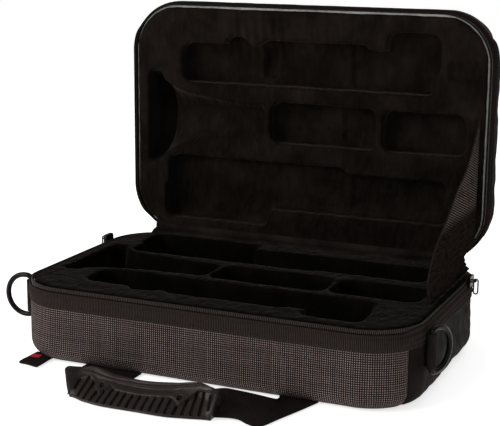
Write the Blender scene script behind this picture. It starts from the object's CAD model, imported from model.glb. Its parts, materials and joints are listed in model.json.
# %% [markdown]
# # Dressing a soft-shell clarinet case
# The CAD model already settles every size, every joint and every moving body.  This lesson
# adds what makes it look like the real thing: cloth with a cut size, sewn edges, a zipper
# with real coils, crushed plush, webbing and enamelled rings.
# We start by loading that model.  It stays fixed, and each new piece is built round it.

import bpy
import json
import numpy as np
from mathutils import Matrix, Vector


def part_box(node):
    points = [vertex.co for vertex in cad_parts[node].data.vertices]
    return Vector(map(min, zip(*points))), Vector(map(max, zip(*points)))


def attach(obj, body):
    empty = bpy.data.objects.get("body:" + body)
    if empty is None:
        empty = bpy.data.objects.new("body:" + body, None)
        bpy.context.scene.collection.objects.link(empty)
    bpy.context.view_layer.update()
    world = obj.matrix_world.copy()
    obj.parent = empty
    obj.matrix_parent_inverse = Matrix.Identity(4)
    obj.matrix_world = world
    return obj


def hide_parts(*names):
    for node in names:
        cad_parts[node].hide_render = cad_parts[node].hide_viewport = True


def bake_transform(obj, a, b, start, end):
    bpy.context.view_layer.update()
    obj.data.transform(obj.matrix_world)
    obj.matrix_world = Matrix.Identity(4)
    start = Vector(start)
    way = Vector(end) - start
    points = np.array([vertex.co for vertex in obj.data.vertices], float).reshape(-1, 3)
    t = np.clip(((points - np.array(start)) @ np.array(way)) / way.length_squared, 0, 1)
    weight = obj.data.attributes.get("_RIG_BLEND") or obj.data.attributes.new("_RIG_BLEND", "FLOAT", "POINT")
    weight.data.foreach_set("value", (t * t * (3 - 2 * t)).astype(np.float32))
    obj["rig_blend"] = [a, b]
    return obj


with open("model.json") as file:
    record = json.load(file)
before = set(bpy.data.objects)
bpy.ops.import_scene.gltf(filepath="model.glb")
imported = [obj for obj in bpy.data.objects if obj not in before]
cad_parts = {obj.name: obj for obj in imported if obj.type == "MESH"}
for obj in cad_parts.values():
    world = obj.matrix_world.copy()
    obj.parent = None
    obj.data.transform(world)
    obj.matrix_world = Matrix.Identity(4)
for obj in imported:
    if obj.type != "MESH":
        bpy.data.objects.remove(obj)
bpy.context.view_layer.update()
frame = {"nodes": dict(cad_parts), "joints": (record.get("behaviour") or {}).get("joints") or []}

# %% [markdown]
# Meshes are edited with bmesh, and vectors, matrices and repeatable noise come from mathutils.

# %% Tools of this lesson
import json
import math
from functools import lru_cache

import bmesh
import bpy
from mathutils import Matrix, Vector, noise

# %% [markdown]
# The case is a rounded box that opens like a book.  Its main places are read from the frame,
# so the cloth always fits the model: the walls, the hinge line, the edges of the zipper tapes.
# Only the radii of the rounded edges can't be read from a box, so they are named here.

# %% Places on the case
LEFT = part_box("base_end_panel_left")[0].x
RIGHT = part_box("base_end_panel_right")[1].x
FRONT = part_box("base_front_cover")[0].y
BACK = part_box("base_back_panel")[1].y
HINGE = Vector(frame["joints"][0]["pos_m"])
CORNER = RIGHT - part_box("hinge_tape_base")[1].x
BASE_EDGE = 0.014        # radius of the roll between the base's walls and its underside
LID_EDGE = 0.0195        # radius of the roll between the lid's walls and its top
TAPE_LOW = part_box("base_zipper_tape")[0].z
TAPE_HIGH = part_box("base_zipper_tape")[1].z
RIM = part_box("base_zipper_coil")[1].z
LID_TOP = HINGE.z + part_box("lid_top_panel")[1].y - BACK   # as if the lid were shut
print("length and depth:", round(RIGHT - LEFT, 4), round(BACK - FRONT, 4), "hinge at", list(HINGE))

# %% [markdown]
# The camera stands in front of the case, a little to its right and a little above it, as one
# stands at a shop counter.  Its place is given by a turn, a rise and a distance from a point
# inside the case, because those are easier to read than a matrix.

# %% Camera
CAMERA_TURN = math.radians(23.633)
CAMERA_RISE = math.radians(12.529)
CAMERA_ROLL = math.radians(0.472)
CAMERA_DISTANCE = 1.0762
CAMERA_TARGET = Vector((-0.0029, 0.0006, 0.1165))
LENS = 93.134


def aim_camera():
    back = Vector((math.sin(CAMERA_TURN) * math.cos(CAMERA_RISE),
                   -math.cos(CAMERA_TURN) * math.cos(CAMERA_RISE), math.sin(CAMERA_RISE)))
    side = Vector((math.cos(CAMERA_TURN), math.sin(CAMERA_TURN), 0))
    up = back.cross(side)
    rolled_side = side * math.cos(CAMERA_ROLL) + up * math.sin(CAMERA_ROLL)
    rolled_up = up * math.cos(CAMERA_ROLL) - side * math.sin(CAMERA_ROLL)
    camera = bpy.data.objects.new("camera", bpy.data.cameras.new("camera"))
    camera.data.lens = LENS
    pose = Matrix((rolled_side, rolled_up, back)).transposed().to_4x4()
    pose.translation = CAMERA_TARGET + back * CAMERA_DISTANCE
    camera.matrix_world = pose
    bpy.context.scene.collection.objects.link(camera)
    bpy.context.scene.camera = camera
    return camera


print("camera at", [round(v, 3) for v in aim_camera().location])

# %% [markdown]
# Black cloth needs large, soft lights: a small lamp would give it hard sparks and leave the
# rest a hole.  A broad key light stands at the upper left, a faint one at the right, and a
# strip from behind draws the edges.  A fourth one is small, to put a bright line on the rings.
# The sky is white to the camera but dimmer as a light, so that hollows still go dark.

# %% Lights and floor
SKY_LIGHT = 0.38
LIGHTS = {
    "key": dict(place=(-1.12, -1.12, 0.78), aim=(0, 0, 0.1), size=1.0, power=20),
    "fill": dict(place=(1.2, -0.9, 0.55), aim=(0.1, 0, 0.08), size=0.9, power=0.3),
    "ridge": dict(place=(0.2, 0.9, 1.3), aim=(0, 0, 0.15), size=0.9, power=4),
    "spark": dict(place=(0.55, -1.3, 0.75), aim=(0.1, 0, 0.08), size=0.16, power=1.6),
}


def softbox(name, place, aim, size, power):
    lamp = bpy.data.lights.new(name, "AREA")
    lamp.size = size
    lamp.energy = power
    holder = bpy.data.objects.new(name, lamp)
    holder.location = place
    holder.rotation_euler = (Vector(place) - Vector(aim)).to_track_quat("Z", "Y").to_euler()
    bpy.context.scene.collection.objects.link(holder)


def white_sky():
    world = bpy.data.worlds.new("studio")
    world.use_nodes = True
    tree = world.node_tree
    background = tree.nodes["Background"]
    background.inputs["Color"].default_value = (1, 1, 1, 1)
    path = tree.nodes.new("ShaderNodeLightPath")
    level = tree.nodes.new("ShaderNodeMapRange")
    level.inputs["To Min"].default_value = SKY_LIGHT
    level.inputs["To Max"].default_value = 1.0
    tree.links.new(path.outputs["Is Camera Ray"], level.inputs["Value"])
    tree.links.new(level.outputs[0], background.inputs["Strength"])
    bpy.context.scene.world = world


for name, light in LIGHTS.items():
    softbox(name, **light)
white_sky()
bpy.context.scene.view_settings.view_transform = "Standard"
print("lights:", [lamp.name for lamp in bpy.data.lights])

# %% [markdown]
# Every finish below is a small graph of nodes, and the same few steps come back each time:
# take coordinates, divide them into cells or noise, turn the result into a tint and a bump.
# A short class keeps those steps readable.  What is constant over a surface, such as sheen,
# is set on the shader's own socket; only patterns are made with nodes.

# %% A helper for finishes
WARM = (1.0, 0.86, 0.8, 1)     # black dyes are never quite neutral, nor is what they reflect


class Finish:
    """A material in the making."""

    def __init__(self, name, **sockets):
        self.material = bpy.data.materials.new(name)
        self.material.use_nodes = True
        self.tree = self.material.node_tree
        self.shader = self.tree.nodes["Principled BSDF"]
        for socket, value in sockets.items():
            self.shader.inputs[socket.replace("_", " ")].default_value = value

    def add(self, kind, inputs, **settings):
        made = self.tree.nodes.new("ShaderNode" + kind)
        for key, value in settings.items():
            setattr(made, key, value)
        for key, value in inputs.items():
            self.feed(made.inputs[key], value)
        return made

    def feed(self, socket, value):
        if isinstance(value, bpy.types.NodeSocket):
            self.tree.links.new(value, socket)
        else:
            socket.default_value = value

    def math(self, operation, first, second=0.0):
        return self.add("Math", {0: first, 1: second}, operation=operation).outputs[0]

    def on_object(self):
        return self.add("TexCoord", {}).outputs["Object"]

    def on_cut(self):
        """The flat cut of a cloth piece, in metres."""
        return self.add("UVMap", {}, uv_map="cut").outputs[0]

    def scaled(self, vector, scale):
        return self.add("VectorMath", {0: vector, 1: scale}, operation="MULTIPLY").outputs[0]

    def cells(self, vector, pitch):
        """Divide a cut into cells and give x and y inside each, from -0.5 to 0.5."""
        in_cells = self.scaled(vector, (1 / pitch[0], 1 / pitch[1], 1))
        part = self.add("VectorMath", {0: in_cells}, operation="FRACTION").outputs[0]
        both = self.add("SeparateXYZ", {0: part})
        return self.math("SUBTRACT", both.outputs[0], 0.5), self.math("SUBTRACT", both.outputs[1], 0.5)

    def from_middle(self, x, y):
        squares = self.math("ADD", self.math("MULTIPLY", x, x), self.math("MULTIPLY", y, y))
        return self.math("SQRT", squares)

    def noise(self, vector, size, detail=2.0):
        """Soft noise whose blobs are about size metres wide."""
        return self.add("TexNoise", {"Vector": vector, "Scale": 1 / size, "Detail": detail}).outputs[0]

    def span(self, value, low, high, to_low=0.0, to_high=1.0):
        inputs = {"Value": value, "From Min": low, "From Max": high, "To Min": to_low, "To Max": to_high}
        return self.add("MapRange", inputs, interpolation_type="SMOOTHSTEP").outputs[0]

    def tint(self, share, first, second):
        mix = self.add("Mix", {0: share}, data_type="RGBA")
        self.feed(mix.inputs[6], first if isinstance(first, bpy.types.NodeSocket) else (*first, 1))
        self.feed(mix.inputs[7], second if isinstance(second, bpy.types.NodeSocket) else (*second, 1))
        return mix.outputs[2]

    def bump(self, height, depth, under=None):
        made = self.add("Bump", {"Height": height, "Distance": depth})
        if under:
            self.feed(made.inputs["Normal"], under)
        return made.outputs[0]

    def done(self, color, roughness, normal):
        self.feed(self.shader.inputs["Base Color"], color)
        self.feed(self.shader.inputs["Roughness"], roughness)
        self.feed(self.shader.inputs["Normal"], normal)
        return self.material


print("finish helper ready")

# %% [markdown]
# The front of the case is a coarse black cloth with a light dot in every cell of a small check,
# so that from a distance it reads as grey.  The dots belong to the threads, so they follow the
# flat cut of the cloth rather than the room.  Rows and columns differ a little in brightness,
# as real yarns do.

# %% Woven check
DOT_PITCH = 0.00175
DOT_LIGHT = (0.335, 0.258, 0.236)
DOT_DARK = (0.0085, 0.0058, 0.0053)
YARN_WANDER = 0.0005     # how far a yarn strays from its straight line


def woven_check():
    f = Finish("woven_check", Specular_IOR_Level=0.03, Sheen_Weight=0.02, Sheen_Roughness=0.5)
    cut = f.on_cut()
    stray = f.add("TexNoise", {"Vector": cut, "Scale": 70.0, "Detail": 1.0}).outputs["Color"]
    stray = f.scaled(stray, (YARN_WANDER, YARN_WANDER, 0))
    cut = f.add("VectorMath", {0: stray, 1: cut}, operation="ADD").outputs[0]
    x, y = f.cells(cut, (DOT_PITCH, DOT_PITCH))
    dots = f.span(f.from_middle(x, y), 0.38, 0.12)
    columns = f.noise(f.scaled(cut, (1, 0.02, 1)), DOT_PITCH)
    rows = f.noise(f.scaled(cut, (0.02, 1, 1)), DOT_PITCH)
    yarns = f.span(f.math("ADD", columns, rows), 0.7, 1.3, 0.6, 1.0)
    wear = f.span(f.noise(cut, 0.03, 4), 0.3, 0.7, 0.8, 1.0)
    light = f.math("MULTIPLY", f.math("MULTIPLY", dots, yarns), wear)
    color = f.tint(light, DOT_DARK, DOT_LIGHT)
    rough = f.span(dots, 0, 1, 0.85, 0.6)
    return f.done(color, rough, f.bump(dots, 0.00025, f.bump(f.noise(cut, 0.0004), 0.0001)))


WOVEN = woven_check()

# %% [markdown]
# The ends, the back and the underside are a plain close-woven nylon.  It is darker and smoother
# than the front, and what shows is its soft gloss and its wrinkles, so its weave is only a bump.

# %% Plain nylon
NYLON_PITCH = 0.0006


def plain_nylon():
    f = Finish("plain_nylon", Specular_IOR_Level=0.012, Specular_Tint=WARM)
    cut = f.on_cut()
    x, y = f.cells(cut, (NYLON_PITCH, NYLON_PITCH))
    weave = f.math("MULTIPLY", f.math("ABSOLUTE", x), f.math("ABSOLUTE", y))
    cloud = f.noise(cut, 0.04, 4)
    color = f.tint(f.span(cloud, 0.3, 0.7), (0.0055, 0.0042, 0.0036), (0.0165, 0.0132, 0.0114))
    rough = f.span(f.noise(cut, 0.01), 0.3, 0.7, 0.5, 0.66)
    creases = f.bump(f.noise(f.scaled(cut, (1, 0.6, 1)), 0.008, 4), 0.0016)
    return f.done(color, rough, f.bump(weave, 0.0004, creases))


NYLON = plain_nylon()

# %% [markdown]
# Zipper tape is a ribbed band.  The ribs themselves are modelled; the finish darkens the valleys
# between them, where light hardly reaches, and adds the fine cross threads and a little dust.
# The lid's tape is a darker one than the base's.

# %% Ribbed tape
RIB_PITCH = 0.0014


def ribbed_tape(name, dark, light):
    f = Finish(name, Specular_IOR_Level=0.02, Specular_Tint=WARM)
    cut = f.on_cut()
    x, y = f.cells(cut, (RIB_PITCH, 0.0006))
    threads = f.span(f.math("ABSOLUTE", y), 0.5, 0.1)
    ribs = f.span(f.math("ABSOLUTE", x), 0.15, 0.5)
    dust = f.span(f.noise(cut, 0.004, 3), 0.3, 0.7, 0.7, 1.0)
    color = f.tint(f.math("MULTIPLY", dust, ribs), dark, light)
    rough = f.span(dust, 0, 1, 0.7, 0.9)
    return f.done(color, rough, f.bump(threads, 0.00015))


TAPES = {
    "base": ribbed_tape("ribbed_tape", (0.0085, 0.006, 0.005), (0.052, 0.0395, 0.0355)),
    "lid": ribbed_tape("dark_ribbed_tape", (0.005, 0.0035, 0.003), (0.026, 0.0195, 0.0172)),
}

# %% [markdown]
# The coil is nylon monofilament.  Its turns are paler than the dark between them, which is what
# one sees as a row of ticks.  A gloss would join the ticks into one bright line along the whole
# rim, so the nylon is left matt, and a nearly black core closes the view between the turns.

# %% Coil nylon
def coil_nylon(name, dark, light):
    f = Finish(name, Specular_IOR_Level=0.0)
    where = f.on_object()
    cloud = f.noise(where, 0.002, 3)
    color = f.tint(cloud, dark, light)
    rough = f.span(cloud, 0.3, 0.7, 0.5, 0.65)
    return f.done(color, rough, f.bump(f.noise(where, 0.0006), 0.00005))


COILS = {
    "base": coil_nylon("coil_nylon", (0.04, 0.032, 0.028), (0.1, 0.082, 0.074)),
    "lid": coil_nylon("dark_coil_nylon", (0.016, 0.0125, 0.011), (0.045, 0.036, 0.032)),
}


def twisted(name, size, detail, dark, light, rough, depth, **sockets):
    """Spun yarn: its twist tints it, roughens it and stands out."""
    f = Finish(name, **sockets)
    twist = f.noise(f.on_object(), size, detail)
    return f.done(f.tint(twist, dark, light), f.span(twist, 0, 1, *rough), f.bump(twist, depth))


CORE = twisted("coil_core", 0.0008, 2, (0.002, 0.0015, 0.0013), (0.006, 0.0046, 0.004), (0.9, 0.9),
               0.0002, Specular_IOR_Level=0.0)

# %% [markdown]
# Plush is short fur.  Modelling every hair would be wasteful at this size, so the finish does
# it: a sheen for the hair tips that face away, a fine grain, and broad patches where the pile
# has been pushed one way or the other and so looks lighter or darker.  In the base the pile
# stands upright, so one looks down into it and it is darker than in the lid.

# %% Crushed plush
def crushed_plush(name, dark, light):
    f = Finish(name, Specular_IOR_Level=0.01, Sheen_Weight=0.06, Sheen_Roughness=0.3,
               Sheen_Tint=(1.0, 0.86, 0.78, 1))
    where = f.on_object()
    warp = f.noise(where, 0.02, 3)
    patches = f.span(f.noise(where, 0.03, 5), 0.36, 0.64)
    strokes = f.span(f.noise(f.scaled(where, (1.6, 0.7, 0.7)), 0.007, 4), 0.35, 0.65)
    grain = f.noise(where, 0.0011, 3)
    lay = f.math("ADD", f.math("MULTIPLY", patches, 0.55), f.math("MULTIPLY", strokes, 0.25))
    lay = f.math("ADD", lay, f.math("MULTIPLY", grain, 0.35))
    color = f.tint(f.math("MULTIPLY", lay, warp), dark, light)
    pile = f.bump(grain, 0.0003)
    brushed = f.bump(strokes, 0.0004, pile)
    return f.done(color, f.span(grain, 0.3, 0.7, 0.85, 1.0), brushed)


PLUSH = crushed_plush("crushed_plush", (0.003, 0.0022, 0.0018), (0.0165, 0.0122, 0.0098))
LOW_PLUSH = crushed_plush("base_plush", (0.001, 0.0009, 0.0007), (0.005, 0.0043, 0.0034))

# %% [markdown]
# The stay gusset is thin dark cloth.  Near the lid it shows tiny pale specks, the back of a
# coated weave, on a diagonal grid; lower down they are worn away and only creases are left.

# %% Speckled gusset cloth
SPECK_PITCH = 0.0021
SPECK_STRETCH = 0.42     # below 1 the specks are longer than tall
SPECK_TURN = math.radians(38)
SPECKS_FROM = (0.112, 0.124)   # heights between which the specks come in


def speckled_cloth():
    f = Finish("speckled_cloth", Specular_IOR_Level=0.0)
    cut = f.on_cut()
    stretched = f.scaled(cut, (SPECK_STRETCH, 1, 1))
    turned = f.add("VectorRotate", {"Vector": stretched, "Angle": SPECK_TURN}, rotation_type="Z_AXIS")
    x, y = f.cells(turned.outputs[0], (SPECK_PITCH, SPECK_PITCH * 0.8))
    specks = f.span(f.from_middle(x, y), 0.34, 0.14)
    high = f.add("SeparateXYZ", {0: cut}).outputs[1]
    shown = f.math("MULTIPLY", f.span(f.noise(cut, 0.012, 3), 0.2, 0.5), f.span(high, *SPECKS_FROM))
    worn = f.span(f.noise(f.scaled(cut, (0.2, 1, 1)), 0.0022, 3), 0.35, 0.65)
    ground = f.tint(worn, (0.0065, 0.0046, 0.0036), (0.0135, 0.0099, 0.0079))
    color = f.tint(f.math("MULTIPLY", specks, shown), ground, (0.2, 0.165, 0.145))
    rough = f.span(shown, 0, 1, 0.55, 0.75)
    return f.done(color, rough, f.bump(specks, 0.0002, f.bump(f.noise(cut, 0.005, 3), 0.0005)))


SPECKLED = speckled_cloth()

# %% [markdown]
# The gusset's free edge is rolled into a thin hem.  It is the same dark nylon, but a wire has no
# flat cut to read, so its twist is patterned on the object itself.

# %% Rolled hem
NYLON_WIRE = twisted("rolled_hem", 0.0009, 2, (0.006, 0.0046, 0.0038), (0.018, 0.0142, 0.0122), (0.6, 0.45),
                     0.0002, Specular_IOR_Level=0.04, Specular_Tint=WARM)
print(NYLON_WIRE.name)

# %% [markdown]
# Webbing is woven much thicker than cloth.  Its yarns run along it in ribs, and each rib steps
# over and under the crossing yarns, which gives rows of small slanted beads.

# %% Webbing
def webbing_weave():
    f = Finish("webbing_weave", Specular_IOR_Level=0.06, Specular_Tint=WARM)
    cut = f.on_cut()
    x, y = f.cells(cut, (0.0016, 0.0012))
    slant = f.math("ADD", x, f.math("MULTIPLY", f.math("ABSOLUTE", y), 0.8))
    crossing = f.span(f.math("ABSOLUTE", y), 0.5, 0.15)
    beads = f.math("MULTIPLY", crossing, f.span(f.math("ABSOLUTE", slant), 0.6, 0.2))
    dust = f.span(f.noise(cut, 0.015, 4), 0.35, 0.7, 0.5, 1.0)
    color = f.tint(f.math("MULTIPLY", beads, dust), (0.006, 0.0045, 0.004), (0.021, 0.0165, 0.0148))
    rough = f.span(beads, 0, 1, 0.85, 0.6)
    return f.done(color, rough, f.bump(beads, 0.0003))


WEBBING = webbing_weave()

# %% [markdown]
# Rings, sliders and screws are steel with black enamel: a thin gloss over near black, with the
# slight waviness of a dipped coat and paler rubbed places.

# %% Black enamel
def black_enamel():
    f = Finish("black_enamel", Coat_Weight=0.02, Coat_Roughness=0.05, Specular_IOR_Level=0.09,
               Specular_Tint=WARM)
    where = f.on_object()
    rubbed = f.span(f.noise(where, 0.004, 4), 0.55, 0.75)
    color = f.tint(rubbed, (0.004, 0.0032, 0.003), (0.012, 0.0095, 0.0085))
    rough = f.span(rubbed, 0, 1, 0.2, 0.34)
    return f.done(color, rough, f.bump(f.noise(where, 0.0015, 2), 0.00006))


ENAMEL = black_enamel()

# %% [markdown]
# The grip is moulded rubber.  It came out of its mould with a fine stipple, and hands have
# polished the high places, so its roughness wanders a little.

# %% Moulded rubber
def moulded_rubber():
    f = Finish("moulded_rubber", Specular_IOR_Level=0.22, Specular_Tint=WARM)
    where = f.on_object()
    polish = f.span(f.noise(where, 0.012, 4), 0.3, 0.7)
    color = f.tint(polish, (0.0075, 0.0054, 0.0047), (0.0135, 0.0098, 0.0086))
    rough = f.span(polish, 0, 1, 0.44, 0.3)
    return f.done(color, rough, f.bump(f.noise(where, 0.0004, 2), 0.00008))


RUBBER = moulded_rubber()

# %% [markdown]
# Three small finishes are left: the plain red ribbon on the corner tab, the sewing thread, and
# the rigid foam inside the walls, which only shows if someone takes the case apart.

# %% Ribbon, thread and foam
def red_ribbon():
    f = Finish("red_ribbon", Specular_IOR_Level=0.1, Sheen_Weight=0.02)
    cut = f.on_cut()
    x, _y = f.cells(cut, (0.0005, 0.0009))
    ribs = f.span(f.math("ABSOLUTE", x), 0.5, 0.1)
    color = f.tint(ribs, (0.34, 0.006, 0.014), (0.66, 0.012, 0.03))
    return f.done(color, f.span(ribs, 0, 1, 0.8, 0.6), f.bump(ribs, 0.00015))


def rigid_foam():
    f = Finish("rigid_foam", Specular_IOR_Level=0.2)
    where = f.on_object()
    beads = f.add("TexVoronoi", {"Vector": where, "Scale": 350}).outputs["Distance"]
    color = f.tint(beads, (0.6, 0.6, 0.57), (0.4, 0.4, 0.38))
    return f.done(color, f.span(beads, 0, 1, 0.9, 0.7), f.bump(beads, 0.0004))


RIBBON = red_ribbon()
THREAD = twisted("sewing_thread", 0.0004, 1, (0.012, 0.0105, 0.01), (0.05, 0.044, 0.04), (0.7, 0.5),
                 0.0001, Specular_IOR_Level=0.15)
FOAM = rigid_foam()
print("finishes:", sorted(m.name for m in bpy.data.materials if m.use_nodes))

# %% [markdown]
# Nearly everything on this case follows its rounded outline: cloth, tape, coil and stitches.
# So we first learn to walk round it.  The walk starts in the middle of the hinge side and goes
# clockwise as seen from above; a distance along it gives a point and the way out of the case.

# %% Walk round the outline
LONG = RIGHT - LEFT - 2 * CORNER
SHORT = BACK - FRONT - 2 * CORNER
QUARTER = math.pi / 2 * CORNER
WAY_ROUND = 2 * LONG + 2 * SHORT + 4 * QUARTER


def rim(walk, inset=0.0):
    """The point this far along the outline, moved in by inset, and the direction outwards."""
    place = Vector((0, BACK, 0))
    turned = 0.0
    left = walk % WAY_ROUND
    for side in (LONG / 2, SHORT, LONG, SHORT, LONG / 2):
        out = Vector((math.sin(turned), math.cos(turned), 0))
        step = min(left, side)
        place = place + Vector((out.y, -out.x, 0)) * step
        left -= step
        if left <= 0:
            break
        centre = place - out * CORNER
        step = min(left, QUARTER)
        turned += step / CORNER
        out = Vector((math.sin(turned), math.cos(turned), 0))
        place = centre + out * CORNER
        left -= step
        if left <= 0:
            break
    return place - out * inset, out


def corner_walk(depth):
    """How far round a corner one has walked when one is depth in from the wall it leaves."""
    return CORNER * math.acos(1 - depth / CORNER)


RIGHT_BACK_SEAM = LONG / 2 + corner_walk(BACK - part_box("base_back_panel")[0].y)
RIGHT_FRONT_SEAM = LONG / 2 + SHORT + 2 * QUARTER - corner_walk(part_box("base_front_cover")[1].y - FRONT)
LEFT_FRONT_SEAM = WAY_ROUND - RIGHT_FRONT_SEAM
LEFT_BACK_SEAM = WAY_ROUND - RIGHT_BACK_SEAM
print("once round:", round(WAY_ROUND, 4), "m; seams at", round(RIGHT_BACK_SEAM, 4), round(RIGHT_FRONT_SEAM, 4))

# %% [markdown]
# Cloth is cut flat and then laid.  We do the same: a grid is made at the size of the cut, its
# UV map is written while it is still flat, in metres, and then each of its points is moved to
# its place.  The weave of the finish reads that map, so it bends with the cloth.

# %% Cut cloth and lay it
def flat_cloth(width, height, step, step_up=None):
    mesh = bmesh.new()
    cut = mesh.loops.layers.uv.new("cut")
    columns = max(2, round(width / step))
    rows = max(2, round(height / (step_up or step)))
    bmesh.ops.create_grid(mesh, x_segments=columns, y_segments=rows, size=0.5)
    bmesh.ops.scale(mesh, vec=(width, height, 1), verts=mesh.verts)
    bmesh.ops.translate(mesh, vec=(width / 2, height / 2, 0), verts=mesh.verts)
    for face in mesh.faces:
        for corner in face.loops:
            corner[cut].uv = corner.vert.co.xy
    return mesh


def lay(mesh, place):
    for vert in mesh.verts:
        vert.co = place(vert.co.x, vert.co.y)
    return mesh


def ease(value):
    """0 below 0, 1 above 1, and a soft step between."""
    value = min(1.0, max(0.0, value))
    return value * value * (3 - 2 * value)


def inside(value, low, high, soft):
    """1 between low and high and 0 outside, with soft shoulders."""
    return ease((value - low) / soft + 0.5) * ease((high - value) / soft + 0.5)


def ripple(x, y, size, seed):
    """Gentle, repeatable unevenness from -1 to 1."""
    return noise.noise(Vector((x / size, y / size, seed)))


# %% [markdown]
# Every new piece goes through the same steps: the mesh becomes an object, gets its finish, is
# told which body it rides on, and says which CAD parts it stands for.  The helpers after it give
# cloth a thickness, turn faces that point the wrong way, and swing the lid open.

# %% Turn a mesh into a piece of the case
def make_piece(mesh, name, finish, slot, body=None, stands_for=()):
    data = bpy.data.meshes.new(name)
    mesh.to_mesh(data)
    mesh.free()
    data.shade_smooth()
    data.materials.append(finish)
    piece = bpy.data.objects.new(name, data)
    bpy.context.scene.collection.objects.link(piece)
    if body:
        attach(piece, body)
    if stands_for:
        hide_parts(*stands_for)
    print(name, len(data.polygons), "faces")
    return piece


def thicken(piece, thickness, offset=-1.0):
    """Give a laid cloth its thickness, inwards from the side that shows."""
    wall = piece.modifiers.new("thickness", "SOLIDIFY")
    wall.thickness = thickness
    wall.offset = offset
    return piece


def turn_round(mesh, wrong):
    """Turn round the faces whose direction is wrong."""
    bmesh.ops.reverse_faces(mesh, faces=[face for face in mesh.faces if wrong(face.normal)])
    return mesh


def stand_open(mesh):
    """The lid is drawn shut, where it is easy to measure, and then swung open."""
    swing = Matrix.Rotation(-math.pi / 2, 3, "X")
    bmesh.ops.rotate(mesh, cent=HINGE, matrix=swing, verts=mesh.verts)
    return mesh


def on_half(mesh, half):
    """What belongs to the lid is swung open with it."""
    return stand_open(mesh) if half == "lid" else mesh


# %% [markdown]
# Base and lid have the same kind of wall: straight next to the zipper, then a roll into the
# flat panel.  One function lays cloth on either, given how far away from the zipper tape a
# point lies on the cloth, and how far it is lifted off the foam.

# %% The two walls
LID_TAPE = HINGE.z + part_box("lid_zipper_tape")[1].y - BACK
WALLS = {
    "base": dict(edge=TAPE_LOW, way=-1, straight=TAPE_LOW - BASE_EDGE, roll=BASE_EDGE),
    "lid": dict(edge=LID_TAPE, way=1, straight=LID_TOP - LID_EDGE - LID_TAPE, roll=LID_EDGE),
}


def on_wall(half, walk, away, lift=0.0):
    wall = WALLS[half]
    bend = max(0.0, away - wall["straight"]) / wall["roll"]
    run = min(away, wall["straight"]) + wall["roll"] * math.sin(bend)
    inset = wall["roll"] * (1 - math.cos(bend))
    place, out = rim(walk, inset - lift * math.cos(bend))
    place.z = wall["edge"] + wall["way"] * (run + lift * math.sin(bend))
    return place


def wall_tall(half):
    return WALLS[half]["straight"] + WALLS[half]["roll"] * math.pi / 2


def close_up(mesh, half):
    """Finish a laid wall: faces outwards, and the lid's swung open."""
    if half == "lid":
        bmesh.ops.reverse_faces(mesh, faces=mesh.faces)
    return on_half(mesh, half)


print("wall cloth, base and lid:", round(wall_tall("base"), 4), round(wall_tall("lid"), 4))

# %% [markdown]
# The covers come in four pieces to each half: front, two ends and back.  Where two of them
# meet they are sewn with the edges turned in, so each cloth dives a little at its seams.  It is
# stretched over foam, hence nearly smooth, but a soft cloth over a hard wall always puckers;
# the ends, which carry no stiff dots, pucker most.

# %% Wall covers
CLOTH = 0.0008
SEAM_DIVE = 0.0009
SEAM_SOFT = 0.0035


def wall_cover(half, start, end, crown, pucker, seed):
    wide = end - start
    tall = wall_tall(half)

    def place(x, y):
        to_seam = min(x, wide - x, tall - y)
        swell = crown * math.sin(math.pi * y / tall)
        rough = pucker * (ripple(x, y * 0.7, 0.022, seed) + 0.5 * ripple(x + y, y, 0.009, seed))
        lift = (swell + rough) * ease(min(to_seam, y) / 0.012)
        lift -= SEAM_DIVE * (1 - ease(to_seam / SEAM_SOFT))
        return on_wall(half, start + x, y, lift)

    return close_up(lay(flat_cloth(wide, tall, 0.0022), place), half)


COVERS = {
    "front_cover": (RIGHT_FRONT_SEAM, LEFT_FRONT_SEAM, 0.0004, 0.0003, WOVEN, "woven_check"),
    "end_panel_right": (RIGHT_BACK_SEAM, RIGHT_FRONT_SEAM, 0.0008, 0.0011, NYLON, "plain_nylon"),
    "end_panel_left": (LEFT_FRONT_SEAM, LEFT_BACK_SEAM, 0.0006, 0.0007, NYLON, "plain_nylon"),
    "back_panel": (LEFT_BACK_SEAM - WAY_ROUND, RIGHT_BACK_SEAM, 0.0005, 0.0005, NYLON, "plain_nylon"),
}


def add_covers(half):
    for seed, (name, (start, end, crown, pucker, finish, slot)) in enumerate(COVERS.items()):
        mesh = wall_cover(half, start, end, crown, pucker, seed + len(half))
        node = f"{half}_{name}"
        piece = make_piece(mesh, f"{node}_cloth", finish, slot, half, [node])
        thicken(piece, CLOTH)


for half in ("base", "lid"):
    add_covers(half)

# %% [markdown]
# The underside and the lid's top are flat panels with a rounded outline.  We trace the outline
# once, then extrude it inwards ring by ring and close the last ring.  The lid's top is a little
# full, as there is padding under it.

# %% Flat panels
PANEL_STEPS = 360
PANEL_RINGS = 26


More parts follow.
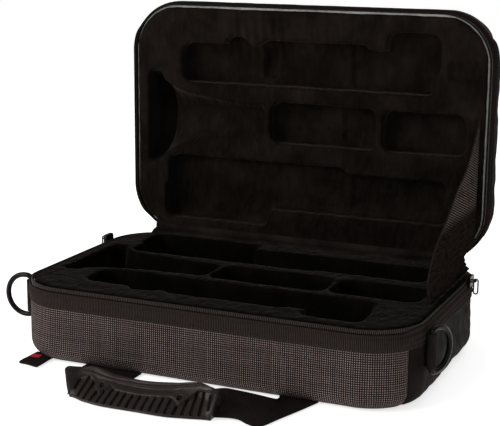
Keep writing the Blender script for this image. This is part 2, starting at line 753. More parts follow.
def flat_panel(inset, height, swell, seed):
    mesh = bmesh.new()
    cut = mesh.loops.layers.uv.new("cut")
    spots = [rim(WAY_ROUND * step / PANEL_STEPS, inset)[0] for step in range(PANEL_STEPS)]
    ring = [mesh.verts.new(spot) for spot in reversed(spots)]
    edges = [mesh.edges.new((ring[step - 1], ring[step])) for step in range(PANEL_STEPS)]
    for left in range(PANEL_RINGS, 1, -1):
        grown = bmesh.ops.extrude_edge_only(mesh, edges=edges)["geom"]
        inner = [part for part in grown if isinstance(part, bmesh.types.BMVert)]
        edges = [part for part in grown if isinstance(part, bmesh.types.BMEdge)]
        bmesh.ops.scale(mesh, vec=((left - 1) / left, (left - 1) / left, 1), verts=inner)
    bmesh.ops.contextual_create(mesh, geom=edges)
    bmesh.ops.recalc_face_normals(mesh, faces=mesh.faces)
    for face in mesh.faces:
        for corner in face.loops:
            corner[cut].uv = corner.vert.co.xy
    for vert in mesh.verts:
        off_edge = 1 - max(abs(vert.co.x) / (RIGHT - inset), abs(vert.co.y) / (BACK - inset))
        full = swell * ease(off_edge * 3) + 0.4 * swell * ripple(vert.co.x, vert.co.y, 0.05, seed)
        dive = math.copysign(SEAM_DIVE, swell) * (1 - ease(off_edge * 25))
        vert.co.z = height + full * ease(off_edge * 12) - dive
    return mesh


def add_bottom():
    mesh = turn_round(flat_panel(BASE_EDGE, 0.0002, -0.00015, 3), lambda way: way.z > 0)
    return make_piece(mesh, "base_bottom_cloth", NYLON, "plain_nylon", "base", ["base_bottom_panel"])


def add_lid_top():
    mesh = turn_round(flat_panel(LID_EDGE, LID_TOP, 0.0016, 7), lambda way: way.z < 0)
    return make_piece(stand_open(mesh), "lid_top_cloth", WOVEN, "woven_check", "lid", ["lid_top_panel"])


def declare_panel(piece):
    thicken(piece, CLOTH)


declare_panel(add_bottom())
declare_panel(add_lid_top())

# %% [markdown]
# Zipper tape runs all the way round each half.  It is a grosgrain band, so it has real ribs,
# one every 1.4 mm, and its free edge lies on the covers, where a row of stitches holds it.  At
# the coil it turns in under a narrow welt, which leaves the dark line one sees under the coil.  Round
# the ends it is pulled along its length, so there it shows long cords rather than ribs.

# %% Ribbed zipper tape
RIB_HEIGHT = 0.00014
TAPE_CORD = 0.00045      # how far its cords stand out where it is pulled along
TAPE_RISE = 0.0022       # and how far it rises in front of the coil there
TAPE_LAP = 0.0015        # the tape lies this far over the covers
TAPE_WIDE = TAPE_HIGH - TAPE_LOW
TAPE_THICK = 0.0006
TAPE_PULLED = ((LONG / 2, RIGHT_FRONT_SEAM), (LEFT_FRONT_SEAM, LEFT_BACK_SEAM))


def zipper_tape(half):
    tall = TAPE_WIDE + TAPE_LAP

    def place(x, y):
        pulled = max(inside(x, start, end, 0.02) for start, end in TAPE_PULLED)
        away = y - TAPE_WIDE - TAPE_RISE * pulled * max(0.0, 1 - y / 0.006)
        rib = RIB_HEIGHT * (1 - 0.8 * pulled) * math.cos(2 * math.pi * x / RIB_PITCH)
        cords = TAPE_CORD * pulled * math.cos(2 * math.pi * y / 0.0041) * ease(y / 0.003)
        belly = 0.0007 * math.sin(math.pi * min(1.0, y / TAPE_WIDE))
        sag = 0.00035 * ripple(x, y, 0.03, 5) * ease(y / 0.004)
        groove = 0.0011 * math.exp(-((y - 0.0027) / 0.0006) ** 2)
        turn_in = (0.0012 - 0.0018 * pulled) * (1 - ease(y / 0.0009))
        return on_wall(half, x, away, 0.0004 + rib + cords + belly + sag - groove - turn_in)

    mesh = lay(flat_cloth(WAY_ROUND, tall, RIB_PITCH / 3, 0.0007), place)
    bmesh.ops.remove_doubles(mesh, verts=mesh.verts, dist=0.00002)
    return close_up(mesh, half)


for half in ("base", "lid"):
    node = f"{half}_zipper_tape"
    band = make_piece(zipper_tape(half), f"{half}_tape_band", TAPES[half], "zipper_tape", half, [node])
    thicken(band, TAPE_THICK)

# %% [markdown]
# A zipper coil is a spring of monofilament, flattened and sewn to the tape's edge.  From outside
# one sees only its slanted front strokes.  A curve wound round the rim with a thin bevel gives
# exactly that, and turning it into a mesh keeps it a plain piece.  Inside it runs a flat core,
# which closes the view between the turns.

# %% Wire from a route
def wire(route, radius, closed=False):
    curve = bpy.data.curves.new("route", "CURVE")
    curve.dimensions = "3D"
    curve.bevel_depth = radius
    curve.bevel_resolution = 1
    curve.use_fill_caps = True
    spline = curve.splines.new("POLY")
    spline.points.add(len(route) - 1)
    for point, place in zip(spline.points, route):
        point.co = (*place, 1)
    spline.use_cyclic_u = closed
    holder = bpy.data.objects.new("route", curve)
    mesh = bmesh.new()
    mesh.from_mesh(bpy.data.meshes.new_from_object(holder))
    bpy.data.objects.remove(holder)
    return mesh


# %% [markdown]
# The route is a spring that has been pressed flat: round its own middle line it is taller than
# it is deep, and that middle line follows the rim just inside the outline.

# %% Zipper coils
COIL_PITCH = 0.0015
COIL_STEPS = 10          # points on one turn
COIL_WIRE = 0.00031
COIL_START = LONG / 2 + 0.001
COIL_LENGTH = WAY_ROUND - 2 * COIL_START
COIL_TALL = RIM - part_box("base_zipper_coil")[0].z
COIL_DEEP = 0.0019
COIL_INSET = 0.0017      # the coil's middle line, in from the outline
MIDDLES = {"base": RIM - COIL_TALL / 2, "lid": 2 * HINGE.z - RIM + COIL_TALL / 2}


def coil_route(half):
    turns = round(COIL_LENGTH / COIL_PITCH)
    route = []
    for step in range(turns * COIL_STEPS + 1):
        angle = 2 * math.pi * step / COIL_STEPS
        inset = COIL_INSET + (COIL_DEEP / 2 - COIL_WIRE) * math.cos(angle)
        spot, _out = rim(COIL_START + COIL_PITCH * step / COIL_STEPS, inset)
        spot.z = MIDDLES[half] + (COIL_TALL / 2 - COIL_WIRE) * math.sin(angle)
        route.append(spot)
    return route


def core_strip(half):
    low = MIDDLES[half] - COIL_TALL / 2 - 0.0006
    tall = COIL_TALL + 0.0003

    def place(x, y):
        spot, _out = rim(COIL_START + x, COIL_INSET + 0.0002)
        spot.z = low + y if half == "base" else 2 * MIDDLES[half] - low - y
        return spot

    return lay(flat_cloth(COIL_LENGTH, tall, 0.003, 0.001), place)


for half in ("base", "lid"):
    spring = on_half(wire(coil_route(half), COIL_WIRE), half)
    core = on_half(core_strip(half), half)
    make_piece(spring, f"{half}_coil", COILS[half], "zipper_coil", half, [f"{half}_zipper_coil"])
    thicken(make_piece(core, f"{half}_coil_core", CORE, "zipper_coil", half), 0.0008, 0.0)

# %% [markdown]
# Stitches are what tells sewn cloth from moulded plastic.  Each is a small flattened bead, half
# sunk in the cloth.  There are hundreds, so each has only two dozen faces.

# %% Stitches
STITCH_PITCH = 0.0034
STITCH_LONG = 0.0024
STITCH_THICK = 0.0005


def stitch(mesh, spot, along, out):
    along = along.normalized()
    out = out.normalized()
    turn = Matrix((along, out.cross(along), out)).transposed().to_4x4()
    size = Matrix.Diagonal((STITCH_LONG, STITCH_THICK, STITCH_THICK, 1))
    matrix = Matrix.Translation(spot) @ turn @ size
    bmesh.ops.create_uvsphere(mesh, u_segments=6, v_segments=4, radius=0.5, matrix=matrix)


def tape_stitches(half, away, lift):
    mesh = bmesh.new()
    for index in range(int(WAY_ROUND / STITCH_PITCH)):
        walk = index * STITCH_PITCH
        spot = on_wall(half, walk, away, lift)
        ahead = on_wall(half, walk + 0.001, away, lift)
        stitch(mesh, spot, ahead - spot, rim(walk)[1])
    return mesh


for half in ("base", "lid"):
    rows = on_half(tape_stitches(half, TAPE_LAP * 0.2, 0.0006), half)
    make_piece(rows, f"{half}_tape_stitches", THREAD, "zipper_tape", half)

# %% [markdown]
# The inserts are moulded foam under plush.  A CAD solid has the right hollows but hard edges,
# and loose triangles.  A voxel remesh of a merged copy gives an even skin, a smoothing pass
# rounds its edges as cloth over foam does, and then points are moved by hand-written rules.

# %% An even, soft copy of a CAD solid
def soft_copy(node, voxel, rounds):
    mesh = bmesh.new()
    mesh.from_mesh(frame["nodes"][node].data)
    bmesh.ops.remove_doubles(mesh, verts=mesh.verts, dist=0.00001)
    data = bpy.data.meshes.new(node)
    mesh.to_mesh(data)
    holder = bpy.data.objects.new(node + "_copy", data)
    bpy.context.scene.collection.objects.link(holder)
    remesh = holder.modifiers.new("even", "REMESH")
    remesh.mode = "VOXEL"
    remesh.voxel_size = voxel
    soften = holder.modifiers.new("soften", "SMOOTH")
    soften.iterations = rounds
    ready = holder.evaluated_get(bpy.context.evaluated_depsgraph_get())
    mesh.clear()
    mesh.from_mesh(ready.to_mesh())
    bpy.data.objects.remove(holder)
    return mesh


# %% [markdown]
# The rules for plush: it is a little thicker here than there, it is pushed in where parts of
# the instrument press on it, and above the long hollow in the lid it is gathered in soft
# upright folds.  A dent is a soft-edged box on the lid's face, given along the case and above
# the hinge.

# %% Plush that has been used
PLUSH_VOXEL = 0.0019
PILE_ROUGH = 0.00032


def ruffle(mesh, seed):
    mesh.normal_update()
    moves = []
    for vert in mesh.verts:
        spot = vert.co * 90 + Vector((seed, 0, 0))
        fine = noise.noise(spot) + 0.5 * noise.noise(spot * 2.7)
        broad = noise.noise(spot * 0.33)
        moves.append(vert.normal * (PILE_ROUGH * fine + 1.2 * PILE_ROUGH * broad))
    for vert, move in zip(mesh.verts, moves):
        vert.co += move


def add_base_liner():
    mesh = soft_copy("base_liner", PLUSH_VOXEL, 7)
    ruffle(mesh, 0.0)
    piece = make_piece(mesh, "base_plush", LOW_PLUSH, "plush", "base", ["base_liner"])
    return piece


add_base_liner()

# %% [markdown]
# The lid's plush has been leaned on by the instrument, so it gets its dents and folds before the
# same ruffling.

# %% Dents and gathers in the lid's plush
LID_DENTS = (
    # left, right, low, high, how deep
    (-0.044, -0.032, 0.150, 0.178, 0.006),
    (0.041, 0.074, 0.147, 0.180, 0.003),
    (0.034, 0.066, 0.097, 0.128, 0.003),
    (0.133, 0.159, 0.159, 0.175, 0.004),
    (0.044, 0.130, 0.036, 0.066, 0.003),
)
GATHER_PITCH = 0.0085
GATHER_DEPTH = 0.0011


def press_lid(mesh):
    face = HINGE.y
    for vert in mesh.verts:
        above = vert.co.z - HINGE.z
        reach = ease((0.142 - vert.co.y) / 0.006)
        for left, right, low, high, deep in LID_DENTS:
            pressed = inside(vert.co.x, left, right, 0.004) * inside(above, low, high, 0.004)
            vert.co.y += deep * reach * pressed
        folds = inside(vert.co.x, -0.075, -0.015, 0.02) * inside(above, 0.165, 0.205, 0.02)
        wave = math.sin(2 * math.pi * (vert.co.x + 0.15 * above) / GATHER_PITCH)
        vert.co.y += GATHER_DEPTH * folds * wave * ease((face + 0.03 - vert.co.y) / 0.01)


def add_lid_liner():
    mesh = soft_copy("lid_liner", PLUSH_VOXEL, 11)
    press_lid(mesh)
    ruffle(mesh, 4.0)
    piece = make_piece(mesh, "lid_plush", PLUSH, "plush", "lid", ["lid_liner"])
    return piece


add_lid_liner()

# %% [markdown]
# The stay gusset keeps the lid from falling back.  It is a fan of cloth sewn to both rims at
# the right end, with a bound free edge that bellies out near the base and a notch at the hinge.
# We lay a grid as a fan: across it runs the angle about the hinge, and up it the distance from
# it.  Above the base, where the cloth has nowhere to go, it is creased in fine level wrinkles.

# %% The fan's outline
FAN_X = (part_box("gusset_right")[0].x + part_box("gusset_right")[1].x) / 2
FAN_EDGE = ((0, 132.5), (8, 145), (20, 130.5), (32, 112), (48, 101.5), (66, 97.7), (80, 107.5), (90, 126.5))
FAN_NOTCH = ((0, 14), (10, 21), (22, 36), (32, 33), (45, 24), (60, 19.5), (75, 18), (90, 17))
MM = 0.001


def through(points, share):
    """A smooth curve through hand-set points, from share 0 at the first to 1 at the last."""
    last = len(points) - 1
    spot = min(max(share, 0.0) * last, last - 0.000001)
    index = int(spot)
    part = spot - index
    before, here, after, beyond = (Vector(points[min(max(index + k, 0), last)]) for k in (-1, 0, 1, 2))
    straight = (after - before) * part
    square = (2 * before - 5 * here + 4 * after - beyond) * part ** 2
    cube = (3 * here - before - 3 * after + beyond) * part ** 3
    return (2 * here + straight + square + cube) / 2


def radius_at(stations, angle):
    """The fan's radius at an angle, read from its stations by halving the curve's share."""
    low, high = 0.0, 1.0
    for _turn in range(24):
        middle = (low + high) / 2
        if through(stations, middle).x < angle:
            low = middle
        else:
            high = middle
    return through(stations, low).y * MM


# %% [markdown]
# Laying the fan also writes its cut anew: the cloth is patterned by where it hangs, so its specks
# stay level.  Then the lid's turn is shared out over it, which is what folds it when the lid
# comes down.

# %% Lay the fan
FAN_STEPS = 150
FAN_WRINKLE = 0.00085    # wavelength of the wrinkles, over a full turn
FAN_CRUMPLE = 0.0008
FAN_SWAY = 0.0011
FAN_HEM = 0.0006         # radius of the rolled hem


def fan_point(angle, share):
    """A point of the gusset: angle in degrees from the base's rim, share from notch to free edge."""
    inner = radius_at(FAN_NOTCH, angle)
    outer = radius_at(FAN_EDGE, angle)
    reach = inner + (outer - inner) * share
    turn = math.radians(angle)
    high = reach * math.sin(turn)
    slack = ease(angle / 7) * ease((90 - angle) / 14)
    held = 0.15 + 0.85 * ease((1 - share) / 0.22)
    wander = 3 * ripple(reach, high, 0.022, 1)
    creased = ease((0.062 - high) / 0.03) * (0.4 + ripple(reach, high, 0.015, 4))
    wrinkles = math.sin(high / FAN_WRINKLE + wander) * creased
    sway = FAN_SWAY * ripple(reach, turn / 25, 0.035, 9)
    side = slack * held * (FAN_CRUMPLE * wrinkles + sway)
    return Vector((FAN_X + side, HINGE.y - reach * math.cos(turn), HINGE.z + 0.0004 + reach * math.sin(turn)))


def gusset_mesh():
    mesh = flat_cloth(90, 1, 90 / FAN_STEPS, 1 / 84)
    cut = mesh.loops.layers.uv.verify()
    lay(mesh, fan_point)
    for face in mesh.faces:
        for corner in face.loops:
            corner[cut].uv = corner.vert.co.yz
    return mesh


def fold_with_lid(piece):
    """Share the lid's turn out over the fan: none of it at the base's rim, all at the lid's."""
    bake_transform(piece, "base", "lid", start=(FAN_X, FRONT, HINGE.z), end=(FAN_X, HINGE.y, LID_TOP))
    weights = piece.data.attributes["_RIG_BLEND"].data
    for vert, weight in zip(piece.data.vertices, weights):
        angle = math.atan2(vert.co.z - HINGE.z, HINGE.y - vert.co.y)
        weight.value = min(1.0, max(0.0, angle / (math.pi / 2)))


def add_gusset():
    mesh = gusset_mesh()
    area = sum(face.calc_area() for face in mesh.faces)
    bmesh.ops.reverse_faces(mesh, faces=mesh.faces)
    fan = make_piece(mesh, "gusset_cloth", SPECKLED, "gusset_mesh", None, ["gusset_right"])
    thicken(fan, 0.0006, 0.0)
    fold_with_lid(fan)
    edge = wire([fan_point(90 * step / 120, 1.0) for step in range(121)], FAN_HEM)
    binding = make_piece(edge, "gusset_edge_binding", NYLON_WIRE, "webbing", None, ["gusset_binding"])
    fold_with_lid(binding)
    print("gusset area:", round(area, 4), "square metres")


add_gusset()

# %% [markdown]
# Between the two halves, along the hinge, runs a narrow lining.  It closes the gap that one
# would otherwise look through when the case is open, and it folds flat when the lid comes down.
# It is a fan as well, but a very narrow one: each cross line is a hollow curve from the base's
# rim to the lid's.

# %% Hinge lining
LINING_INSET = 0.0075
LINING_WIDE = 0.016
LINING_DIP = 0.0016      # how near it comes to the hinge line
LINING_END = LONG / 2 + CORNER * math.asin((0.150 - LONG / 2) / CORNER)


def lining_place(x, y):
    edge, _out = rim(x - LINING_END, LINING_INSET)
    reach = HINGE.y - edge.y
    share = y / LINING_WIDE
    near = LINING_DIP + max(0.0, reach - LINING_INSET) * 0.6
    radius = near + (reach - near) * abs(1 - 2 * share) ** 1.5
    turn = math.pi / 2 * share
    return Vector((edge.x, HINGE.y - radius * math.cos(turn), HINGE.z + 0.0002 + radius * math.sin(turn)))


def add_hinge_lining():
    mesh = lay(flat_cloth(2 * LINING_END, LINING_WIDE, 0.003, 0.001), lining_place)
    turn_round(mesh, lambda way: way.y > 0 or way.z < 0)
    lining = make_piece(mesh, "hinge_lining", NYLON, "plain_nylon")
    thicken(lining, 0.0005)
    fold_with_lid(lining)


add_hinge_lining()

# %% [markdown]
# The spine of the case is a broad tape over the hinge.  It has to bend when the lid moves, so it
# is one sheet, laid up the back of the base, round the hinge and under the lid's back, and it
# is blended between the two bodies exactly across the bend.

# %% Hinge tape
SPINE_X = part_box("hinge_tape_base")[1].x
SPINE_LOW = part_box("hinge_tape_base")[0].z
SPINE_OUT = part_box("hinge_tape_lid")[1].y
SPINE_OFF = 0.0009       # the tape's outer face, off the walls
SPINE_TURN = 0.0014      # radius of its bend at the hinge


def spine_place(x, y):
    rise = HINGE.z - SPINE_OFF - SPINE_TURN - SPINE_LOW
    turn = min(max(y - rise, 0.0) / SPINE_TURN, math.pi / 2)
    beyond = max(0.0, y - rise - SPINE_TURN * math.pi / 2)
    rib = 0.00012 * math.cos(2 * math.pi * x / RIB_PITCH)
    out = HINGE.y + SPINE_OFF + SPINE_TURN * (1 - math.cos(turn)) + beyond
    high = SPINE_LOW + min(y, rise) + SPINE_TURN * math.sin(turn)
    return Vector((x - SPINE_X, out + rib * math.cos(turn), high - rib * math.sin(turn)))


def add_spine():
    rise = HINGE.z - SPINE_OFF - SPINE_TURN - SPINE_LOW
    tall = rise + SPINE_TURN * math.pi / 2 + SPINE_OUT - HINGE.y - SPINE_OFF - SPINE_TURN
    mesh = lay(flat_cloth(2 * SPINE_X, tall, RIB_PITCH / 4, 0.0008), spine_place)
    bmesh.ops.reverse_faces(mesh, faces=mesh.faces)
    nodes = ["hinge_tape_base", "hinge_tape_lid"]
    spine = make_piece(mesh, "hinge_tape", TAPES["base"], "zipper_tape", None, nodes)
    thicken(spine, 0.0008)
    start = (0, HINGE.y + SPINE_OFF, HINGE.z - SPINE_OFF - SPINE_TURN)
    end = (0, HINGE.y + SPINE_OFF + SPINE_TURN, HINGE.z - SPINE_OFF)
    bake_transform(spine, "base", "lid", start=start, end=end)


add_spine()

# %% [markdown]
# Webbing is a strip with two edges.  A ribbon helper lays cloth between two lines of hand-set
# points, one for each edge, which lets a strip bend, lean and turn a corner.  Solidify gives it
# its thickness, and a small bevel rounds its selvedges.

# %% Ribbon between two edges
WEB_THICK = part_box("handle_anchors")[1].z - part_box("handle_anchors")[0].z


def line_length(points):
    return sum((Vector(b) - Vector(a)).length for a, b in zip(points, points[1:]))


def ribbon(edge, far_edge, width, step=0.002):
    length = (line_length(edge) + line_length(far_edge)) / 2

    def place(x, y):
        return through(edge, x / length).lerp(through(far_edge, x / length), y / width)

    return lay(flat_cloth(length, width, step), place), length


def add_ribbon(name, mesh, finish, slot, body, stands_for, thick):
    piece = make_piece(mesh, name, finish, slot, body, stands_for)
    thicken(piece, thick, 0.0)
    selvedge = piece.modifiers.new("selvedge", "BEVEL")
    selvedge.width = thick * 0.3
    selvedge.segments = 2
    selvedge.limit_method = "ANGLE"
    return piece


# %% [markdown]
# The carry handle hangs in front and lies on the table.  Its left leg comes straight out from
# under the case and goes into the grip.  On the right the strap leaves the grip edge up, lies
# down, folds over at the corner and runs slanting to the case.  Both legs bend where the
# handle swings, so they are blended between base and handle at that line.

# %% Handle webbing
SWING = Vector(frame["joints"][-1]["pos_m"])
WEB_LOW = WEB_THICK / 2 + 0.0001


def flat_route(*points):
    """Points on the table: x, y and how far above its own rest the strap lies there, in mm."""
    return [Vector((x * MM, y * MM, WEB_LOW + lift * MM)) for x, y, lift in points]


LEFT_LEG = flat_route((-102.5, -99.5, 0), (-102.5, -113, 0.1), (-101, -123, 0.8),
                      (-96, -131, 2), (-88, -140, 3), (-78, -149, 4))
LEFT_LEG_FAR = flat_route((-52, -99.5, 0), (-52, -111, 0.1), (-52, -122, 0.6),
                          (-52, -132, 1.4), (-52, -141, 2.4), (-52, -149, 3))
RIGHT_STRAP = flat_route((30, -166, 0.4), (46.5, -160, 0.6), (58, -159.6, 1.2), (69, -165, 1.2),
                         (78, -164, 0.4), (85, -143, 0.2), (92, -121, 0), (98.5, -99.5, 0))
RIGHT_STRAP_FAR = flat_route((27, -141, 12), (39, -140, 15), (47, -133, 12), (57, -125, 8),
                             (70, -118.5, 4.2), (70.5, -112, 2.6), (69, -106, 1), (66.5, -99.5, 0))


def add_leg(name, edge, far_edge, width, stands_for):
    mesh, length = ribbon(edge, far_edge, width)
    turn_round(mesh, lambda way: way.z < 0)
    leg = add_ribbon(name, mesh, WEBBING, "webbing", None, stands_for, WEB_THICK - 0.0003)
    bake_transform(leg, "base", "handle", start=(0, SWING.y + 0.003, 0), end=(0, SWING.y - 0.003, 0))


add_leg("handle_leg_left", LEFT_LEG, LEFT_LEG_FAR, 0.046, ["handle_anchors"])
add_leg("handle_leg_right", RIGHT_STRAP, RIGHT_STRAP_FAR, 0.035, ["handle_webbing"])

# %% [markdown]
# The grip is one rubber moulding, closed round the webbing by two screws.  It is a saddle: a
# sloping face with finger slots, a smooth valley above it, a doubled rim, and ends that rise and
# flare.  We give nine-point profiles by hand at nine places along it, draw a smooth skin through
# them, and then press the relief into that skin along its normals.

# %% The grip's skin
GRIP_ORIGIN = Vector((-0.0190, FRONT, 0))
GRIP_HALF = 61.0         # the grip is given in mm, along it and away from the case
GRIP_ALONG = (-61, -55, -44, -26, 0, 26, 44, 55, 61)
# away and up: underside, foot, four points up the face to the ridge, three down the back
GRIP_PROFILES = (
    ((60.5, 0.6), (61, 4), (59.5, 10), (57, 16), (55, 20.4), (50, 21), (44, 18), (38, 8), (37, 0.6)),
    ((60.5, 0.6), (61.5, 3.6), (57, 8.5), (52, 13), (49.5, 17.5), (46.5, 20.5), (43, 18), (38, 8), (37, 0.6)),
    ((65, 0.6), (65.5, 3.4), (58.5, 8.2), (51.5, 13), (47.5, 17.5), (44.5, 21.3), (41, 18), (38, 8), (37, 0.6)),
    ((68, 0.6), (68.5, 3.4), (61.5, 7.6), (54.5, 11.5), (49, 14.8), (45, 17.6), (41.5, 15.5), (38, 8), (37, 0.6)),
    ((67.5, 0.6), (68, 3.4), (61.5, 7.6), (55, 10.8), (50, 13.2), (45.5, 16.8), (42, 15), (38, 7), (37, 0.6)),
    ((67, 0.6), (67.5, 3.4), (60.5, 7.8), (54, 11.8), (49, 15.4), (45, 19.2), (41.5, 17), (38, 8), (37, 0.6)),
    ((63, 0.6), (63.5, 3.4), (57.5, 8.2), (51, 13), (47.5, 17.5), (44.5, 22), (41, 19), (38, 8), (37, 0.6)),
    ((60, 0.6), (60.5, 3.6), (56.5, 8.5), (52, 13), (49.5, 17.5), (46.5, 21), (43, 18), (38, 8), (37, 0.6)),
    ((59.5, 0.6), (60, 4), (58.5, 10), (56.5, 16), (55, 20.4), (50, 21), (44, 18), (38, 8), (37, 0.6)),
)
PROFILE_LAST = len(GRIP_PROFILES[0]) - 1


@lru_cache(maxsize=None)
def grip_profile(x):
    """The profile at x, in mm from the grip's middle."""
    for index, (low, high) in enumerate(zip(GRIP_ALONG, GRIP_ALONG[1:])):
        if x <= high:
            break
    share = (index + (x - low) / (high - low)) / (len(GRIP_ALONG) - 1)
    return [through(points, share) for points in zip(*GRIP_PROFILES)]


def grip_skin(x, v):
    """The skin at x, v points up the profile; its ends lean outwards as they rise."""
    profile = grip_profile(x)
    if v > PROFILE_LAST:
        spot = profile[-1].lerp(profile[0], v - PROFILE_LAST)
    else:
        spot = through(profile, v / PROFILE_LAST)
    lean = (0.35 * spot.y - 3.5) * max(0.0, (abs(x) - 50) / 11) ** 2 * (1.0 if x < 0 else 0.4)
    return Vector((x + lean * math.copysign(1, x), -spot.x, spot.y))


# %% [markdown]
# The relief is drawn as lines on that skin, each a list of places: x in mm, and how far up the
# profile the line lies there.  Under the panel line the face is sunk, and the slots are cut into
# it; over it lie the valley and the doubled rim.  Two tongues bring the smooth part down round
# the screws.

# %% Lines of the grip's relief
PANEL_LINE = ((-60.8, 0.8), (-58.5, 1.4), (-56.8, 2.8), (-55, 3.25), (-52, 3.52), (-45.5, 3.55), (-41.5, 3.1),
              (-38.8, 2.55), (-32.8, 2.1), (-26.4, 3.35), (-24, 3.1), (-21, 2.85), (-3, 2.79), (16.6, 2.92),
              (24.3, 3.05), (29.2, 2.68), (33.5, 2.1), (44.2, 3.9), (48, 3.95), (54, 4.16), (58.5, 3.8),
              (60.2, 2.0), (60.9, 0.8))
RIM_LINE = ((-61, 4.6), (-50, 4.1), (-38, 3.89), (-25, 4.03), (-12, 4.23), (0, 4.29), (17, 4.31),
            (33, 4.5), (61, 4.9))
TONGUES = ((-42, -24), (27, 47))
SLOT_PITCH = 6.29
SLOT_MIDDLE = 1.3        # the middle slot
SLOT_SIDE = 9            # slots on each side of it
SLOT_HALF = 1.15
SLOT_DEPTH = 2.4
HOLE_DEPTH = 2.2
SCREW_HOLES = ((-33.6, 2.96), (31.6, 2.95))


def line_at(line, x):
    for (low, start), (high, end) in zip(line, line[1:]):
        if x <= high:
            break
    part = min(1.0, max(0.0, (x - low) / (high - low)))
    return start + (end - start) * part


def bump_at(value, middle, half):
    return math.exp(-((value - middle) / half) ** 2)


def slot_depth(x, v):
    """How deep the finger slots are here; they lean towards the middle as they rise."""
    x = x * (1 + 0.02 * (v - 1.2))
    index = round((x - SLOT_MIDDLE) / SLOT_PITCH)
    middle = SLOT_MIDDLE + index * SLOT_PITCH
    if abs(index) > SLOT_SIDE:
        return 0.0
    low = 1.9 if abs(index) == SLOT_SIDE else 1.12
    high = line_at(PANEL_LINE, middle) - 0.26
    beyond = max(0.0, low - v, v - high) * 6
    return ease((SLOT_HALF - math.hypot(x - middle, beyond)) / 0.5 + 0.5)


def grip_relief(x, v):
    """How far the skin is moved outwards, in mm."""
    up = v - line_at(PANEL_LINE, x)
    rim_line = line_at(RIM_LINE, x)
    above = ease(up / 0.16 + 0.5)
    waist = ease((56 - abs(x)) / 10)
    tongue = max(inside(x, low, high, 6) for low, high in TONGUES)
    step = -(0.45 + 1.1 * tongue) * (1 - above) * math.exp(min(0.0, up) / 0.75)
    lip = (0.3 + 0.35 * (1 - waist) + 0.25 * tongue) * bump_at(up, 0.08, 0.1)
    valley = 0.7 * inside(v, v - up + 0.55, rim_line - 0.15, 0.35) * waist * (1 - 0.8 * tongue)
    between = 0.35 * bump_at(v, rim_line + 0.33, 0.15)
    rim_edges = waist * (0.75 * bump_at(v, rim_line, 0.1) - between + 0.4 * bump_at(v, 5.1, 0.22))
    foot = 0.5 * bump_at(v, 0.86, 0.1) - 0.4 * bump_at(v, 0.6, 0.12) + 0.35 * bump_at(v, 0.36, 0.12)
    slots = SLOT_DEPTH * slot_depth(x, v) * (1 - above)
    away = min(math.hypot(x - middle, (v - height) * 5.6) for middle, height in SCREW_HOLES)
    hole = HOLE_DEPTH * ease((2.1 - away) / 0.7)
    return step + lip - valley + rim_edges + foot - slots - hole


# %% [markdown]
# A flat cloth is a good start for the skin too: it is laid round the profiles, closed where it
# meets itself and at both ends, and then the relief moves its points in or out.

# %% Mould the grip
END_CAP = 3.0            # the mesh's last stretch at each end, drawn together into the end face
END_ROUND = 1.0          # how far the end faces bulge


def grip_place(x, v):
    end = min(max(x, -GRIP_HALF), GRIP_HALF)
    spot = grip_skin(end, v)
    if x != end:
        share = min(1.0, abs(x - end) / END_CAP)
        middle = Vector((spot.x * 0.99, -50, 10))
        spot = spot.lerp(middle, share)
        spot.x += math.copysign(END_ROUND * math.sqrt(share * (2 - share)), x)
    return spot


def grip_mesh():
    half = GRIP_HALF + END_CAP
    mesh = flat_cloth(2 * half, PROFILE_LAST + 1, 0.36, 0.06)
    drawn = {vert: (vert.co.x - half, vert.co.y) for vert in mesh.verts}
    lay(mesh, lambda x, v: grip_place(x - half, v))
    mesh.normal_update()
    pressed = [vert for vert in mesh.verts if abs(drawn[vert][0]) < GRIP_HALF]
    moves = [vert.normal * grip_relief(*drawn[vert]) for vert in pressed]
    for vert, move in zip(pressed, moves):
        vert.co += move
    for vert in mesh.verts:
        vert.co = GRIP_ORIGIN + vert.co * MM
    bmesh.ops.remove_doubles(mesh, verts=mesh.verts, dist=0.00002)
    bmesh.ops.recalc_face_normals(mesh, faces=mesh.faces)
    return mesh


make_piece(grip_mesh(), "grip_moulding", RUBBER, "moulded_grip", "handle", ["handle_grip"])

# %% [markdown]
# At the bottom of each hole sits a small round-headed screw with a round socket.  We turn it
# from a circle: extrude the edge, inset the top and push the inset down.

# %% Screws of the grip
SCREW_RADIUS = 1.35
SCREW_SUNK = 1.3         # how far its head lies under the skin


def screw_head(mesh, x, v):
    spot = grip_skin(x, v)
    across = grip_skin(x + 0.2, v) - spot
    up = grip_skin(x, v + 0.05) - spot
    out = across.cross(up).normalized()
    turn = out.to_track_quat("Z", "Y").to_matrix().to_4x4()
    foot = GRIP_ORIGIN + (spot - out * SCREW_SUNK) * MM
    place = Matrix.Translation(foot) @ turn @ Matrix.Scale(MM, 4)
    made = bmesh.ops.create_cone(mesh, cap_ends=True, segments=24, radius1=SCREW_RADIUS, radius2=SCREW_RADIUS,
                                 depth=1.2, matrix=place)
    faces = {face for vert in made["verts"] for face in vert.link_faces}
    top = max(faces, key=lambda face: face.normal.dot(out))
    edges = list(top.edges)
    bmesh.ops.inset_region(mesh, faces=[top], thickness=0.55 * MM)
    bmesh.ops.translate(mesh, vec=-out * 0.5 * MM, verts=top.verts)
    bmesh.ops.bevel(mesh, geom=edges, offset=0.25 * MM, segments=3, profile=0.5, affect="EDGES", material=-1)


def add_screws():
    mesh = bmesh.new()
    for x, v in SCREW_HOLES:
        screw_head(mesh, x, v)
        mesh.normal_update()
    make_piece(mesh, "grip_screw_heads", ENAMEL, "black_metal", "handle", ["grip_screws"])


add_screws()

# %% [markdown]
# Each D-ring is held by a short webbing loop: it starts on the wall, goes round the ring's bar,
# comes back over itself and is sewn down with a box of stitches behind the bar.  The route is a
# few points beside the wall and an arc round the bar.  The left loop is the right one mirrored.

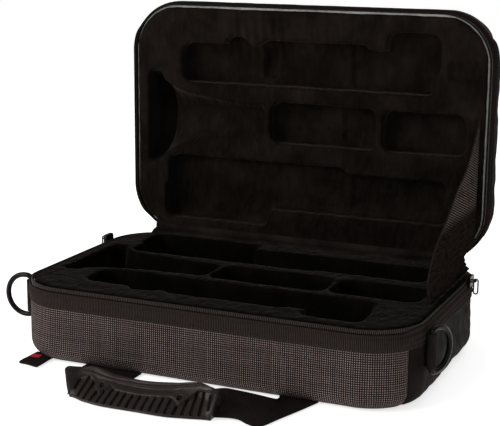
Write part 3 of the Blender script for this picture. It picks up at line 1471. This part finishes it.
# %% Ring loops
BAR = Vector(frame["joints"][2]["pos_m"])
LOOP_TALL = 0.027
LOOP_THICK = 0.0013
BAR_RADIUS = 0.0022
# off the wall and behind the bar, in mm
LOOP_BACK = ((6.6, 3.4), (3.6, 7.0), (2.3, 10.2), (2.1, 13.2), (2.1, 16.0))
LOOP_STITCHES = (0.0088, 0.0148)
STITCH_OFF_WALL = 0.0029


def loop_route():
    around = BAR_RADIUS + 0.0003 + LOOP_THICK / 2
    off_wall = RIGHT + LOOP_THICK / 2
    route = [Vector((off_wall, BAR.y + 0.016 - 0.004 * step, 0)) for step in range(4)]
    for step in range(15):
        angle = math.radians(160 + 220 * step / 14)
        route.append(Vector((BAR.x + around * math.cos(angle), BAR.y + around * math.sin(angle), 0)))
    return route + [Vector((RIGHT + off * MM, BAR.y + behind * MM, 0)) for off, behind in LOOP_BACK]


def box_stitches(mesh):
    """Two upright rows of stitches, joined at the top and bottom."""
    for reach in LOOP_STITCHES:
        for index in range(8):
            spot = (RIGHT + STITCH_OFF_WALL, BAR.y + reach, BAR.z + (index - 3.5) * 0.0031)
            stitch(mesh, Vector(spot), Vector((0, 0, 1)), Vector((1, 0, 0)))
    for high in (-0.0120, 0.0120):
        spot = (RIGHT + STITCH_OFF_WALL, BAR.y + sum(LOOP_STITCHES) / 2, BAR.z + high)
        stitch(mesh, Vector(spot), Vector((0, 1, 0)), Vector((1, 0, 0)))


def to_side(mesh, side):
    if side == "left":
        bmesh.ops.scale(mesh, vec=(-1, 1, 1), verts=mesh.verts)
        bmesh.ops.reverse_faces(mesh, faces=mesh.faces)
    return mesh


def add_ring_loop(side):
    route = loop_route()
    low = [spot + Vector((0, 0, BAR.z - LOOP_TALL / 2)) for spot in route]
    high = [spot + Vector((0, 0, BAR.z + LOOP_TALL / 2)) for spot in route]
    mesh, length = ribbon(low, high, LOOP_TALL, 0.0006)
    to_side(mesh, side)
    name = f"ring_loop_{side}"
    loop = add_ribbon(name, mesh, WEBBING, "webbing", "base", [f"ring_tab_{side}"], LOOP_THICK)
    seams = bmesh.new()
    box_stitches(seams)
    make_piece(to_side(seams, side), f"{name}_stitches", THREAD, "webbing", "base")


for side in ("right", "left"):
    add_ring_loop(side)

# %% [markdown]
# Under the front left corner a short webbing end sticks out, with a scrap of red ribbon sewn to
# it.  Both lie flat, a little askew.

# %% Corner tab
TAB_LOW, TAB_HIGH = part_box("corner_tab")
PATCH_LOW, PATCH_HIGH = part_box("corner_tab_patch")


def short_strip(low, high, above, skew, finish, name, slot, stands_for, thick):
    edge = [Vector((low.x, low.y + skew, above)), Vector((low.x, high.y, above))]
    far_edge = [Vector((high.x, low.y, above)), Vector((high.x, high.y, above))]
    mesh, _length = ribbon(edge, far_edge, high.x - low.x, 0.001)
    for vert in mesh.verts:
        vert.co.z += 0.0004 * ripple(vert.co.x, vert.co.y, 0.009, 2) + 0.0004
    turn_round(mesh, lambda way: way.z < 0)
    return add_ribbon(name, mesh, finish, slot, "base", stands_for, thick)


def add_corner_tab():
    strap = short_strip(TAB_LOW, TAB_HIGH, 0.0010, 0.003, WEBBING, "corner_strap", "webbing",
                        ["corner_tab"], 0.0021)
    scrap = short_strip(PATCH_LOW, PATCH_HIGH, 0.0025, 0.0, RIBBON, "corner_ribbon", "red_label",
                        ["corner_tab_patch"], 0.0004)


add_corner_tab()

# %% [markdown]
# The remaining CAD parts already have their true shape: rings, sliders, pulls and stops.  They
# only need their finishes, as does the foam inside the walls.

# %% Finishes for the CAD parts
HARD_PARTS = {
    "ring_": ENAMEL,
    "slider_": ENAMEL,
    "pull_": ENAMEL,
    "base_zipper_stops": ENAMEL,
    "lid_zipper_stops": ENAMEL,
    "base_foam": FOAM,
    "lid_foam": FOAM,
}


def finish_hard_parts():
    for name, node in frame["nodes"].items():
        if node.hide_render:
            continue
        finish = next(finish for start, finish in HARD_PARTS.items() if name.startswith(start))
        node.data.materials.clear()
        node.data.materials.append(finish)
        print(name, "->", finish.name)


finish_hard_parts()

# %% [markdown]
# Last comes the table top, a plain pale sheet that isn't part of the object.

# %% Table top
TABLE_REACH = 6.0
TABLE_GLOW = 0.66        # the table is lit from below, so that it stays pale to its far edge


def add_floor():
    mesh = bmesh.new()
    bmesh.ops.create_grid(mesh, x_segments=1, y_segments=1, size=TABLE_REACH)
    bmesh.ops.translate(mesh, vec=(0, 0, -0.0003), verts=mesh.verts)
    f = Finish("pale_table", Specular_IOR_Level=0.1, Emission_Color=(1, 1, 1, 1),
               Emission_Strength=TABLE_GLOW)
    grain = f.noise(f.on_object(), 0.5)
    paper = f.done(f.tint(grain, (0.86, 0.86, 0.86), (0.9, 0.9, 0.9)), 0.9, f.bump(grain, 0.0001))
    data = bpy.data.meshes.new("floor")
    mesh.to_mesh(data)
    mesh.free()
    data.materials.append(paper)
    floor = bpy.data.objects.new("floor", data)
    bpy.context.scene.collection.objects.link(floor)


add_floor()
